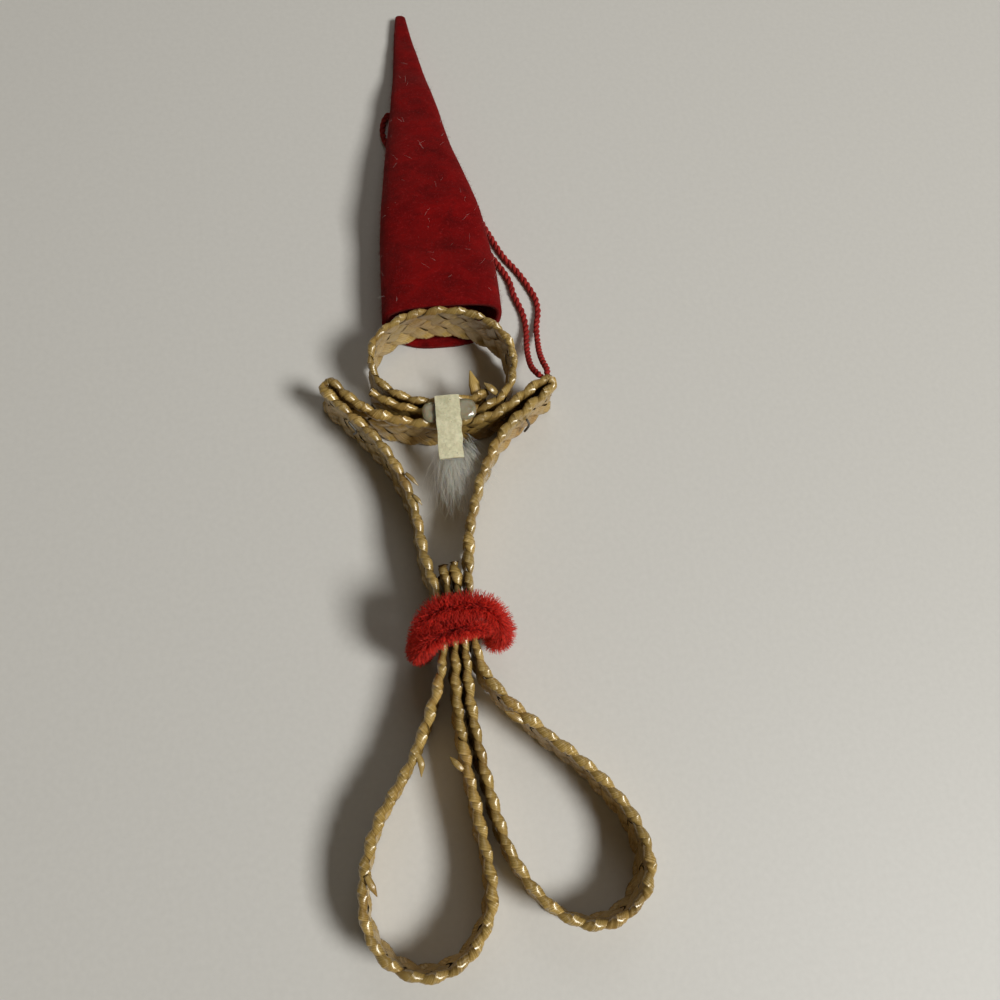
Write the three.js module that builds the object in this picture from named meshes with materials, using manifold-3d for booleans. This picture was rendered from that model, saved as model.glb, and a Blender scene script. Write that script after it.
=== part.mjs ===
// Straw gnome ornament, lying on its front with its back upwards, in millimetres.
// +Z is up, +Y runs from the leg loops to the tip of the hat, +X is to the right.
// All routes are written from the middle of the waist. The last step moves the
// finished pieces so that the middle of their footprint is the origin.
import * as THREE from 'three';
import Module from 'manifold-3d';

// ---- driving sizes -------------------------------------------------------
const BAND_W = 12;            // width of the straw plait, which stands on edge
const PITCH = 4.1;            // from one folded straw to the next along an edge
const STEPS_PER_FOLD = 3;     // cross-sections for each folded straw
const FOOT = 0.45;            // half width of the flat edge that the plait stands on
const EDGE_RISE = 1.1;        // from the edge to the fullest part of a fold
const FOLD_DIP = 0.75;        // how far the top edge dips between two folds
const FOLD_SKEW = 0.4;        // sideways lean of each fold on the top edge
const FOLD_NECK = 0.74;       // thickness between two folds, as a part of the fullest
const WEAVE = 0.16;           // rise and fall of the woven faces
const GAP = 0.3;              // clearance between neighbouring pieces

const BODY_HALF = 1.12;       // half thickness of the body plait at a fold
const WAIST_HALF = 0.8;       // the same where four strands are squeezed by the belt
const WAIST_REACH = 7.5;      // the squeeze ends this far above and below the waist
const WAIST_EASE = 3;         // and fades out over this length
const WAIST_LIFT = 2.6;       // the belt's pile holds the waist off the surface
const LIFT_REACH = 15;
const ARM_TURN = 1.3;         // radius of the fold at each hand

const HEAD_HALF = 0.88;       // half thickness of the head plait at a fold
const HEAD_LIFT = 2.25;       // the top of the head ring lies on the hat's felt
const HEAD_LIFT_FROM = 49;
const HEAD_LIFT_TO = 58;

const FELT = 1.2;             // thickness of the felt
const HAT_SIDES = 24;
const CORD_D = 1.4;           // diameter of the doubled yarn
const CORD_SIDES = 8;
const CORD_STEP = 3.2;
const PILE_R = 3.35;          // radius of the chenille stem over its pile
const WIRE_D = 0.5;           // staples

// ---- small helpers -------------------------------------------------------
const clamp01 = (v) => Math.min(1, Math.max(0, v));
const ease = (v) => { const t = clamp01(v); return t * t * (3 - 2 * t); };
const bell = (v, reach) => Math.exp(-((v / reach) ** 2));
const flat = (points) => points.map(([x, y]) => new THREE.Vector3(x, y, 0));

function smooth(points, tension = 'centripetal') {
  const curve = new THREE.CatmullRomCurve3(points, false, tension);
  curve.arcLengthDivisions = 2000;
  return curve;
}

// A straight-sided skin through rings of points, closed by a fan at each end.
function loft(rings) {
  const n = rings[0].length;
  const position = rings.flat().flatMap((p) => [p.x, p.y, p.z]);
  const index = [];
  for (let i = 0; i + 1 < rings.length; i += 1) {
    for (let j = 0; j < n; j += 1) {
      const k = (j + 1) % n;
      const [a, b] = [i * n + j, i * n + k];
      index.push(a, b, b + n, a, b + n, a + n);
    }
  }
  for (const [ring, last] of [[0, false], [rings.length - 1, true]]) {
    const middle = new THREE.Vector3();
    rings[ring].forEach((p) => middle.addScaledVector(p, 1 / n));
    const hub = position.length / 3;
    position.push(middle.x, middle.y, middle.z);
    for (let j = 0; j < n; j += 1) {
      const [a, b] = [ring * n + j, ring * n + ((j + 1) % n)];
      index.push(...(last ? [hub, a, b] : [hub, b, a]));
    }
  }
  const geometry = new THREE.BufferGeometry();
  geometry.setAttribute('position', new THREE.Float32BufferAttribute(position, 3));
  geometry.setIndex(index);
  return geometry;
}

// A round bar along a route of [x, y, z] points; radius may follow the way along it.
function bar(points, sides, step, radiusAt) {
  const curve = smooth(points.map(([x, y, z]) => new THREE.Vector3(x, y, z)));
  const count = Math.max(3, Math.round(curve.getLength() / step));
  const frames = curve.computeFrenetFrames(count, false);
  const rings = [];
  for (let i = 0; i <= count; i += 1) {
    const centre = curve.getPointAt(i / count);
    const radius = radiusAt(i / count);
    rings.push(Array.from({ length: sides }, (_, j) => {
      const a = (2 * Math.PI * j) / sides;
      return centre.clone()
        .addScaledVector(frames.normals[i], radius * Math.cos(a))
        .addScaledVector(frames.binormals[i], radius * Math.sin(a));
    }));
  }
  return loft(rings);
}

// ---- straw plait ---------------------------------------------------------
// Stands on edge along a flat route. Each folded straw swells the two edges,
// leans across the top edge and lifts the woven faces in turn.
function plait(route, halfAt, liftAt) {
  const curve = smooth(flat(route));
  const length = curve.getLength();
  const steps = Math.round(length / PITCH) * STEPS_PER_FOLD;
  const rings = [];
  for (let i = 0; i <= steps; i += 1) {
    const along = i / steps;
    const centre = curve.getPointAt(along);
    const ahead = curve.getTangentAt(along);
    const side = new THREE.Vector3(ahead.y, -ahead.x, 0).normalize();
    const phase = (i % STEPS_PER_FOLD) / STEPS_PER_FOLD;
    const neck = phase === 0;
    const half = halfAt(centre) * (neck ? FOLD_NECK : 1);
    const low = liftAt(centre);
    const top = low + BAND_W - (neck ? FOLD_DIP : 0);
    const lean = FOLD_SKEW * (phase * 1.5 - 0.5);
    const weave = WEAVE * (neck ? -1 : 1);
    const at = (n, z) => centre.clone().addScaledVector(side, n).setZ(z);
    rings.push([
      at(FOOT, low), at(half, low + EDGE_RISE),
      at(half - WEAVE + weave, low + BAND_W / 2),
      at(half, low + BAND_W - EDGE_RISE - FOLD_DIP / 2), at(lean, top),
      at(-half, low + BAND_W - EDGE_RISE - FOLD_DIP / 2),
      at(-half + WEAVE + weave, low + BAND_W / 2),
      at(-half, low + EDGE_RISE), at(-FOOT, low),
    ].reverse());
  }
  return loft(rings);
}

// The three points of the tight turn at a hand, between two touching strands.
function handTurn([x, y], heading, turnSide) {
  const ahead = [Math.cos(heading), Math.sin(heading)];
  const side = [-turnSide * ahead[1], turnSide * ahead[0]];
  const reach = ARM_TURN * Math.SQRT1_2;
  return [
    [x - side[0] * reach + ahead[0] * reach, y - side[1] * reach + ahead[1] * reach],
    [x + ahead[0] * ARM_TURN, y + ahead[1] * ARM_TURN],
    [x + side[0] * reach + ahead[0] * reach, y + side[1] * reach + ahead[1] * reach],
  ];
}

// One long plait: it starts above the belt, rounds the left leg, goes up to the
// left hand, crosses the shoulders to the right hand, comes down, rounds the
// right leg and ends above the belt beside its start.
const LEFT_HAND = [-19.6, 50];
const LEFT_HEADING = 2.31;
const RIGHT_HAND = [23.8, 46.7];
const RIGHT_HEADING = 0.57;

const bodyRoute = [
  // left leg loop, from the cut end downwards on its inner side
  [-1.4, 10.8], [-1.0, 5.5], [-0.95, 0], [-0.95, -5], [-1.3, -9.5], [-1.5, -14], [-1.4, -19],
  [-1.1, -25], [-0.4, -31], [0.2, -37], [0.8, -42.5], [0.9, -46.5], [0, -50.5],
  [-2.2, -54.3], [-5.4, -57.2], [-9.6, -58.8], [-13.8, -58.2], [-17.4, -56],
  [-20, -52.4], [-21.2, -47.6], [-20.9, -42.6], [-19.6, -37.8], [-17.3, -32.8],
  [-14.1, -28.4], [-11.1, -24.2], [-8.5, -19.6], [-6.1, -14.6], [-4.2, -9.8],
  // waist and left arm
  [-3.05, -5], [-2.85, 0], [-2.95, 5], [-3.9, 9.6], [-4.7, 14], [-5, 18.6],
  [-5.5, 23.2], [-6.7, 28.2], [-8.7, 33.2], [-11.4, 38], [-14.4, 41.8], [-17.5, 45.4],
  ...handTurn(LEFT_HAND, LEFT_HEADING, -1),
  // shoulders
  [-15.6, 47], [-12, 44.1], [-7.3, 41.9], [-2.4, 40.7], [3, 40.2], [8.2, 40.3],
  [12.9, 41.5], [17, 43.8], [20.4, 46],
  ...handTurn(RIGHT_HAND, RIGHT_HEADING, -1),
  // right arm and waist
  [21.8, 43.8], [18.4, 41.4], [15.3, 38.9], [12.5, 35.7], [10.3, 32.2], [8.3, 28.6],
  [6.9, 25], [5.5, 20.8], [4.3, 16], [3.6, 11], [2.95, 5.5], [2.85, 0],
  // right leg loop
  [2.95, -5], [4, -9.6], [6.8, -14], [10.4, -18.2], [14.2, -22.2], [18.2, -26],
  [22, -30], [25.4, -34.6], [27.9, -39.4], [29, -43.8], [28.5, -48], [26.2, -51.8],
  [22.3, -54.2], [17.6, -54.6], [13.2, -52.8], [9.7, -49.6], [6.8, -45.4],
  [4.7, -40.6], [3.4, -35.6], [2.5, -30.2], [1.8, -25], [1.2, -19.6], [0.85, -14],
  [0.9, -9.5], [0.95, -5], [0.95, 0], [0.95, 4.5], [0.85, 9], [0.75, 12.2],
];

// The head is a shorter plait closed to a ring, with its two ends overlapped
// at the neck; the lower end stands out to the left.
const headRoute = [
  [11.4, 46.3], [8.9, 45.2], [5.2, 44.9], [1, 45], [-2.6, 45.5], [-6, 47], [-8.9, 49.3],
  [-10.7, 52.2], [-11, 55.4], [-9.9, 58.5], [-7.3, 61.1], [-3.8, 63], [0.4, 63.9],
  [4.6, 64], [8.9, 63.3], [12.6, 61.4], [15.6, 58.6], [17.3, 55.6], [17.7, 52.2],
  [17, 48.8], [15, 45.7], [11.8, 43.5], [8, 42.7], [3.4, 42.7], [-1, 43.1],
  [-5.2, 44.3], [-8.8, 46.1], [-12.1, 48.6],
];

const squeezed = (p) => {
  const away = ease((Math.abs(p.y) - WAIST_REACH) / WAIST_EASE);
  return WAIST_HALF + (BODY_HALF - WAIST_HALF) * away;
};
const waistLift = (p) => WAIST_LIFT * bell(p.y, LIFT_REACH);
const headLift = (p) => HEAD_LIFT
  * ease((p.y - HEAD_LIFT_FROM) / (HEAD_LIFT_TO - HEAD_LIFT_FROM));

const bodyBraid = () => plait(bodyRoute, squeezed, waistLift);

// A loose end of straw stands up inside the ring, from the overlapped ends.
function headBraid() {
  const ring = plait(headRoute, () => HEAD_HALF, headLift);
  const straw = bar([[9.6, 45.3, 9.4], [9.3, 47.6, 10], [8.7, 50.6, 11]], 6, 2,
    (t) => 1.05 - 0.75 * t * t);
  return join([ring, straw]);
}

// ---- felt hat ------------------------------------------------------------
// Heights along the hat: [y, left x, right x, height].
const hatStations = [
  [65.6, -8, 17.4, 12.8], [75, -7.4, 17.4, 12.8], [84, -6.8, 16.6, 12.2],
  [92, -5.8, 15.2, 11.4], [100, -4.6, 13.3, 10.4], [109, -3.2, 11.2, 8.8],
  [118, -1.6, 9.8, 7.3], [127, -0.2, 8.4, 5.8], [137, 1, 6.9, 4.4],
  [145, 1.9, 5.8, 3.4], [150.4, 2.7, 5.2, 2.5],
];
const HAT_CAVITY_END = 132;   // the hollow runs out here
const MOUTH_TONGUE = 3.4;     // the lower felt reaches this much further down
const CORD_HUMP = 1.9;        // the hat lies over the doubled cord between these
const HUMP_FROM = 82;
const HUMP_TO = 133;

const hump = (y) => CORD_HUMP * ease((y - HUMP_FROM) / 9) * ease((HUMP_TO - y) / 9);

// One oval ring of the hat; inset moves it inwards by the felt, tongue draws
// its lower middle down towards the neck.
function hatRing([y, left, right, height], inset, tongue) {
  const low = hump(y);
  const [cx, cz] = [(left + right) / 2, low + height / 2];
  const [rx, rz] = [(right - left) / 2 - inset, height / 2 - inset];
  const power = 0.64;
  const squash = (v) => Math.sign(v) * Math.abs(v) ** power;
  return Array.from({ length: HAT_SIDES }, (_, j) => {
    const a = (-2 * Math.PI * j) / HAT_SIDES;
    const up = squash(Math.sin(a));
    const drawn = tongue * Math.max(0, -Math.sin(a)) ** 2.5;
    return new THREE.Vector3(cx + rx * squash(Math.cos(a)), y - drawn, cz + rz * up);
  });
}

function stationAt(y) {
  const i = Math.max(1, hatStations.findIndex((s) => s[0] >= y));
  const [a, b] = [hatStations[i - 1], hatStations[i]];
  const t = (y - a[0]) / (b[0] - a[0]);
  return a.map((v, k) => v + (b[k] - v) * t);
}

function hat() {
  const outer = hatStations.map((s, i) => hatRing(s, 0, i === 0 ? MOUTH_TONGUE : 0));
  const innerYs = hatStations.map((s) => s[0]).filter((y) => y < HAT_CAVITY_END);
  const inner = innerYs.map((y, i) => hatRing(stationAt(y), FELT, i === 0 ? MOUTH_TONGUE : 0));
  return loft([...inner.reverse(), ...outer]);
}

// ---- hanging cord --------------------------------------------------------
// Doubled yarn: it leaves the fold of the right hand, runs up beside the head,
// passes under the hat, turns back in a small eye at the hat's left edge and
// returns to the other side of the same fold.
const cordRoute = [
  [22.4, 50.4, 9.2], [22, 52.6, 7.2], [22.1, 56.3, 4.6], [22.6, 60.7, 2.4],
  [23.2, 64.7, 1.1], [23.1, 68.2, 0.8], [22.4, 71, 0.8], [21.6, 73.7, 0.8], [21.3, 76.1, 0.8],
  [20.6, 78.4, 0.8], [19.4, 80.9, 0.8], [18, 83.4, 0.8], [16.5, 86.4, 0.8], [15.4, 90, 0.8],
  [13.4, 95.6, 0.8], [10.6, 100.6, 0.8], [7, 105, 0.8], [2.8, 108.4, 0.8], [-1, 112, 0.8],
  [-3, 116, 0.8], [-3.1, 120, 0.8], [-1.6, 123, 0.8], [0.8, 122.2, 0.8],
  [1.5, 118.6, 0.8], [2.9, 114, 0.8], [5.8, 110, 0.8], [9.2, 106.4, 0.8], [12.6, 101.8, 0.8],
  [15.4, 96.6, 0.8], [17.2, 91.4, 0.8], [18.5, 88.2, 0.8], [19.6, 85.4, 0.8],
  [21, 82.6, 0.8], [22.6, 80.2, 0.8], [24, 77.8, 0.8], [25.2, 75.2, 0.8], [26.3, 72.3, 0.8],
  [26.5, 69.2, 0.8], [25.6, 65.2, 1.1], [25, 60.9, 2.6], [24.5, 56.9, 5.2], [24.4, 53.2, 8],
  [24.6, 50.4, 10],
];

const hangingCord = () => bar(cordRoute, CORD_SIDES, CORD_STEP, () => CORD_D / 2);

// ---- chenille belt -------------------------------------------------------
// A fuzzy stem wound round the waist: a closed turn, arched over the back, and
// a shorter turn below it that ends near the middle.
const BELT_BOTTOM = 0.95;     // half height of the pile pressed under the waist
const BELT_HALF_W = 7.8;      // half width of the turn, to the middle of the stem
const BELT_FRONT = -1.2;      // the pressed part crosses the front here
const BELT_HALF_H = 8.85;     // half height of the turn
const BELT_RISE = 1.25;       // its middle lies this far above the plait's
const BELT_CURVE = 0.58;      // below 1, which squares its corners
const BELT_SLIM = 0.45;       // the left side is pressed thinner
const BELT_SIDE = -3.4;       // its sides sag down to here
const BELT_SKEW = 0.4;        // the right side a little less, the left a little more
const BELT_TOP = 1.45;        // and its top lies up here
const BELT_SIDES = 12;
const BELT_TURN = 28;

function beltRing() {
  const middle = WAIST_LIFT + BAND_W / 2 + BELT_RISE;
  const rings = [];
  for (let i = 0; i <= BELT_TURN; i += 1) {
    const a = (2 * Math.PI * i) / BELT_TURN;
    const up = Math.sin(a);
    const square = (v) => Math.sign(v) * Math.abs(v) ** BELT_CURVE;
    const leftward = ease((-Math.cos(a) - 0.2) / 0.4);
    const halfW = BELT_HALF_W - BELT_SLIM * leftward;
    const [x, z] = [halfW * square(Math.cos(a)), middle + BELT_HALF_H * square(up)];
    const under = ease((-up - 0.35) / 0.5);
    const full = PILE_R - BELT_SLIM * leftward;
    const thick = full + (BELT_BOTTOM - full) * under;
    const side = BELT_SIDE + BELT_SKEW * Math.cos(a);
    const arch = side + (BELT_TOP - side) * clamp01(up) ** 1.4 + (BELT_FRONT - side) * under;
    const out = new THREE.Vector3(Math.cos(a), 0, up).normalize();
    const centre = new THREE.Vector3(x, arch, Math.max(z, thick));
    rings.push(Array.from({ length: BELT_SIDES }, (_, j) => {
      const b = (2 * Math.PI * j) / BELT_SIDES;
      return centre.clone().addScaledVector(out, thick * Math.cos(b))
        .add(new THREE.Vector3(0, PILE_R * Math.sin(b), 0));
    }));
  }
  return rings;
}

function ringSolid(rings) {
  const closed = rings.slice(0, -1);
  const n = closed[0].length;
  const geometry = new THREE.BufferGeometry();
  geometry.setAttribute('position', new THREE.Float32BufferAttribute(
    closed.flat().flatMap((p) => [p.x, p.y, p.z]), 3));
  const index = [];
  for (let i = 0; i < closed.length; i += 1) {
    const next = (i + 1) % closed.length;
    for (let j = 0; j < n; j += 1) {
      const k = (j + 1) % n;
      index.push(i * n + j, i * n + k, next * n + k, i * n + j, next * n + k, next * n + j);
    }
  }
  geometry.setIndex(index);
  return geometry;
}

function belt() {
  const shortTurn = bar([[-7.3, -4.3, 8.5], [-7.2, -4.5, 13], [-5.9, -4.1, 16.9], [-2.4, -2.7, 18.1],
    [2.4, -2.6, 18], [5, -2.9, 17.2]], 10, 2.6, (t) => 2.9 * Math.sqrt(Math.min(1,
    0.35 + 3 * (1 - t))));
  return join([ringSolid(beltRing()), shortTurn]);
}

// ---- neck trimmings ------------------------------------------------------
const TAPE_W = 4.9;
const TAPE_T = 0.4;

// Paper strip over the overlapped ends, drooping below the shoulders.
function beardTape() {
  const rows = [[0.6, 44.9, 13.3], [0.55, 42.6, 13.35], [0.5, 40, 13.3], [0.45, 38.4, 12.9],
    [0.4, 35.6, 11.7], [0.4, 32.6, 10.6]];
  return loft(rows.map(([x, y, z]) => [
    new THREE.Vector3(x, y, z), new THREE.Vector3(x, y, z + TAPE_T),
    new THREE.Vector3(x + TAPE_W / 2, y, z + TAPE_T + 0.15),
    new THREE.Vector3(x + TAPE_W, y, z + TAPE_T), new THREE.Vector3(x + TAPE_W, y, z),
    new THREE.Vector3(x + TAPE_W / 2, y, z + 0.15),
  ].reverse()));
}

// Dried glue under the strip, on the upper edges of the plaits.
function glue() {
  const rows = [[-2, 40.6, 43.5], [-0.6, 39.9, 44.3], [3, 39.8, 44.3], [6.6, 39.9, 44.5],
    [8.7, 40.8, 43.6]];
  return loft(rows.map(([x, low, high], i) => {
    const bulge = i === 0 || i === rows.length - 1 ? 0.1 : 0.25;
    const [base, middle] = [BAND_W + GAP, (low + high) / 2];
    return [
      new THREE.Vector3(x, low, base), new THREE.Vector3(x, low, base + 0.2),
      new THREE.Vector3(x, middle, base + 0.3 + bulge),
      new THREE.Vector3(x, high, base + 0.2), new THREE.Vector3(x, high, base),
    ].reverse();
  }));
}

// Wisp of white wool hanging from under the strip.
function beard() {
  const rows = [[2.9, 36.6, 9.2, 1.9, 1.1], [2.9, 33.6, 8.2, 2.7, 1.5], [2.4, 30, 7.2, 3.4, 1.5],
    [1.6, 26.4, 6.5, 3.6, 1.2], [0.7, 23.4, 6, 2.8, 0.8], [0.3, 21.4, 5.8, 1.4, 0.5]];
  return loft(rows.map(([x, y, z, wide, thick]) => Array.from({ length: 10 }, (_, j) => {
    const a = (2 * Math.PI * j) / 10;
    return new THREE.Vector3(x + wide * Math.cos(a), y, z + thick * Math.sin(a));
  })));
}

const wire = (points) => bar(points, 6, 0.5, () => WIRE_D / 2);
const leftStaple = () => wire([[-16.5, 41.75, 11.9], [-16, 41.15, 11.3], [-15.35, 40.35, 10.8],
  [-15.3, 40.3, 9.6], [-15.8, 40.9, 7.6]]);
const rightStaple = () => wire([[18.9, 39.7, 10], [19.4, 40.05, 8], [20, 40.5, 5.2],
  [19.9, 40.45, 3.9], [19.2, 39.95, 3]]);

// ---- booleans ------------------------------------------------------------
const wasm = await Module();
wasm.setup();

function toSolid(geometry) {
  const { array } = geometry.getAttribute('position');
  return new wasm.Manifold(new wasm.Mesh({
    numProp: 3,
    vertProperties: Float32Array.from(array),
    triVerts: Uint32Array.from(geometry.getIndex().array),
  }));
}

function join(geometries) {
  const mesh = wasm.Manifold.union(geometries.map(toSolid)).getMesh();
  const geometry = new THREE.BufferGeometry();
  geometry.setAttribute('position', new THREE.BufferAttribute(mesh.vertProperties, 3));
  geometry.setIndex(new THREE.BufferAttribute(mesh.triVerts, 1));
  return geometry;
}

// ---- the finished part ---------------------------------------------------
const STRAW = 0xb59a5b;
const RED_FELT = 0x8c0c12;
const pieces = [
  ['body_braid', bodyBraid(), STRAW],
  ['head_braid', headBraid(), STRAW],
  ['hat', hat(), RED_FELT],
  ['belt', belt(), 0xb8262c],
  ['hanging_cord', hangingCord(), 0xa32a2c],
  ['beard_tape', beardTape(), 0xcfc8a4],
  ['glue', glue(), 0xc9b98c],
  ['beard', beard(), 0xe6e2d8],
  ['left_staple', leftStaple(), 0x4a4640],
  ['right_staple', rightStaple(), 0x4a4640],
];

const footprint = new THREE.Box3();
for (const [name, geometry] of pieces) {
  geometry.computeBoundingBox();
  if (name !== 'hanging_cord') footprint.union(geometry.boundingBox);
}
const middle = footprint.getCenter(new THREE.Vector3());

const part = new THREE.Group();
part.name = 'straw_gnome_ornament';
for (const [name, geometry, color] of pieces) {
  geometry.translate(-middle.x, -middle.y, -footprint.min.z);
  geometry.computeVertexNormals();
  const mesh = new THREE.Mesh(geometry, new THREE.MeshStandardMaterial({ color, roughness: 0.7 }));
  mesh.name = name;
  part.add(mesh);
}

export default part;
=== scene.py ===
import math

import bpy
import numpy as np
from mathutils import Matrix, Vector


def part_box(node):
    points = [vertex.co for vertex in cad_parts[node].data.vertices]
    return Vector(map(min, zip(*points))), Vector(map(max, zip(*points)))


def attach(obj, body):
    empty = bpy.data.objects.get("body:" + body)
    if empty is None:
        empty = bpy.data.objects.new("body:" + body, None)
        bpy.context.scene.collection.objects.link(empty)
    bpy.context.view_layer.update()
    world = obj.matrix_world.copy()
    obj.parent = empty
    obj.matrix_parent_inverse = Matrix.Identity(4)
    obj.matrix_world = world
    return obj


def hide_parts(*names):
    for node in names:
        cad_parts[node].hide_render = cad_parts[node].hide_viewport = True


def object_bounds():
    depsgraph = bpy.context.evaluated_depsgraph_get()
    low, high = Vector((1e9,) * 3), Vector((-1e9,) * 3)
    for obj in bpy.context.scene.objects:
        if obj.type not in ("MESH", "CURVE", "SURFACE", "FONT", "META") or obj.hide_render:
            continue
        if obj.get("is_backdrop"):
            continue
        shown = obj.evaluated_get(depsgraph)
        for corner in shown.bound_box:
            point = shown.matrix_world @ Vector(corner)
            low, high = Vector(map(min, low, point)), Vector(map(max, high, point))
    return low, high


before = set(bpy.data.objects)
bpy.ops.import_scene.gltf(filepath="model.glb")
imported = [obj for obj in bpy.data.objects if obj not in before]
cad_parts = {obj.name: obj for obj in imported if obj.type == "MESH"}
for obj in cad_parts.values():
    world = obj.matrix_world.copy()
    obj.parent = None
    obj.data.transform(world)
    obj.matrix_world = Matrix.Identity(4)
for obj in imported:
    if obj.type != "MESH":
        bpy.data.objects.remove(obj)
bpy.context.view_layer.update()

# %% [markdown]
# Straw gnome ornament, lying on its front with its back upwards.
# A long straw plait makes the leg loops, the waist, the arms and the shoulders. A shorter one
# makes the head. A felt cone is the hat, a red chenille stem is the belt, and doubled red yarn
# hangs the ornament. Lengths in the lists below are millimetres from the middle of the waist,
# as in the solid model; place() turns them into metres in the frame of the row.

MM = 0.001
tape_low, tape_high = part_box("beard_tape")
TAPE_LEFT, TAPE_TOP = 0.4, 44.9
WAIST_X = tape_low[0] - TAPE_LEFT * MM
WAIST_Y = tape_high[1] - TAPE_TOP * MM
print("the waist is at", round(WAIST_X, 5), round(WAIST_Y, 5))


def place(x, y, z=0.0):
    """Millimetres from the middle of the waist to metres in the row frame."""
    return Vector((WAIST_X + x * MM, WAIST_Y + y * MM, z * MM))


def linear(code, alpha=1.0):
    """A hex sRGB colour as linear RGBA."""
    parts = [int(code[i:i + 2], 16) / 255 for i in (1, 3, 5)]
    return [c / 12.92 if c <= 0.04045 else ((c + 0.055) / 1.055) ** 2.4 for c in parts] + [alpha]


def ease(v):
    """A smooth step from 0 to 1."""
    t = np.clip(v, 0.0, 1.0)
    return t * t * (3 - 2 * t)


def add(tree, kind, settings=None, links=None, **values):
    """Adds one node: its settings, then its input values by name, then its incoming links."""
    node = tree.nodes.new(kind)
    for key, value in (settings or {}).items():
        setattr(node, key, value)
    for key, value in values.items():
        node.inputs[key.replace("_", " ")].default_value = value
    for key, source in (links or {}).items():
        tree.links.new(source, node.inputs[key])
    return node


def blank_material(name):
    """A new material and its empty node tree."""
    material = bpy.data.materials.new(name)
    material.use_nodes = True
    material.node_tree.nodes.clear()
    return material, material.node_tree


def finished(material, surface):
    """Joins the last shader to the material's output."""
    out = add(material.node_tree, "ShaderNodeOutputMaterial")
    material.node_tree.links.new(surface.outputs[0], out.inputs["Surface"])
    return material


def object_place(tree):
    """The place on the piece in metres, as a node output."""
    return add(tree, "ShaderNodeTexCoord").outputs["Object"]


def cloudy(tree, **values):
    """Noise that is fixed to the piece."""
    return add(tree, "ShaderNodeTexNoise", links={"Vector": object_place(tree)}, **values)


def blend(tree, amount, low, high, start=0.0, end=1.0):
    """A colour between two hex colours, by an amount between start and end."""
    ramp = add(tree, "ShaderNodeValToRGB", links={"Fac": amount})
    ramp.color_ramp.elements[0].position = start
    ramp.color_ramp.elements[0].color = linear(low)
    ramp.color_ramp.elements[1].position = end
    ramp.color_ramp.elements[1].color = linear(high)
    return ramp


def mesh_object(name, points, faces, material, smooth=True):
    """A mesh object at the origin from points in metres."""
    mesh = bpy.data.meshes.new(name)
    mesh.from_pydata([tuple(p) for p in points], [], faces)
    mesh.polygons.foreach_set("use_smooth", [smooth] * len(mesh.polygons))
    mesh.materials.append(material)
    obj = bpy.data.objects.new(name, mesh)
    bpy.context.scene.collection.objects.link(obj)
    return obj


def put(obj, slot, *nodes):
    """Fixes a finished piece to the part, in place of its CAD nodes."""
    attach(obj, "root")
    if nodes:
        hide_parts(*nodes)
    return obj


# %% Camera
# A hand-held camera looks down at the ornament from a little below its waist.
LENS_FACTOR = 0.95            # focal length as a part of the long side
SENSOR = 36.0

camera_data = bpy.data.cameras.new("camera")
camera_data.sensor_fit = "AUTO"
camera_data.sensor_width = SENSOR
camera_data.lens = LENS_FACTOR * SENSOR
camera_data.clip_start = 0.005
camera_data.clip_end = 10.0
camera_data.dof.use_dof = False
camera = bpy.data.objects.new("camera", camera_data)
bpy.context.scene.collection.objects.link(camera)
bpy.context.scene.camera = camera


def aim(obj, eye, target, upwards):
    """Turns a camera or lamp at eye towards target, with upwards as the top of its view."""
    back = (eye - target).normalized()
    right = Vector(upwards).cross(back).normalized()
    top = back.cross(right)
    turn = Matrix((right, top, back)).transposed()
    obj.matrix_world = Matrix.Translation(eye) @ turn.to_4x4()


aim(camera, place(-11.0, -32.2, 186), place(11.8, 24.6, 6), (0.096, 0.946, 0.311))
print("camera", [round(c, 4) for c in camera.matrix_world.translation])

# %% [markdown]
# The studio is a plain pale table top and one big soft lamp on the right.

# %% Floor and light
FLOOR_SIZE = 3.0


def floor_material():
    material, tree = blank_material("pale_table")
    grain = cloudy(tree, Scale=900.0, Detail=3.0)
    colour = add(tree, "ShaderNodeMix", {"data_type": "RGBA"}, {"Factor": grain.outputs["Fac"]})
    colour.inputs[6].default_value = linear("#CBC7BF")
    colour.inputs[7].default_value = linear("#D4D0C8")
    surface = add(tree, "ShaderNodeBsdfPrincipled", links={"Base Color": colour.outputs[2]},
                  Roughness=0.55)
    return finished(material, surface)


half_floor = FLOOR_SIZE / 2
floor = mesh_object(
    "table_top",
    [(-half_floor, -half_floor, 0), (half_floor, -half_floor, 0),
     (half_floor, half_floor, 0), (-half_floor, half_floor, 0)],
    [(0, 1, 2, 3)], floor_material(), smooth=False)
floor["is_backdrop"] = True


def lamp(name, eye, size, power, colour):
    """A square area lamp that looks at the middle of the ornament."""
    data = bpy.data.lights.new(name, "AREA")
    data.shape = "SQUARE"
    data.size = size
    data.energy = power
    data.color = colour
    obj = bpy.data.objects.new(name, data)
    bpy.context.scene.collection.objects.link(obj)
    aim(obj, eye, Vector((0, 0, 0)), (0, 1, 0.01))
    return obj


lamp("window", Vector((0.72, -0.51, 1.08)), 0.40, 17.0, (0.975, 0.995, 1.0))
lamp("ceiling", Vector((0.1, 0.6, 0.8)), 0.5, 0.9, (0.95, 0.98, 1.0))

world = bpy.data.worlds.new("room")
world.use_nodes = True
world.node_tree.nodes["Background"].inputs["Color"].default_value = (1.0, 0.84, 0.62, 1)
world.node_tree.nodes["Background"].inputs["Strength"].default_value = 0.075
bpy.context.scene.world = world
bpy.context.scene.view_settings.view_transform = "Standard"
print("floor and lamps are in place")
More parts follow.
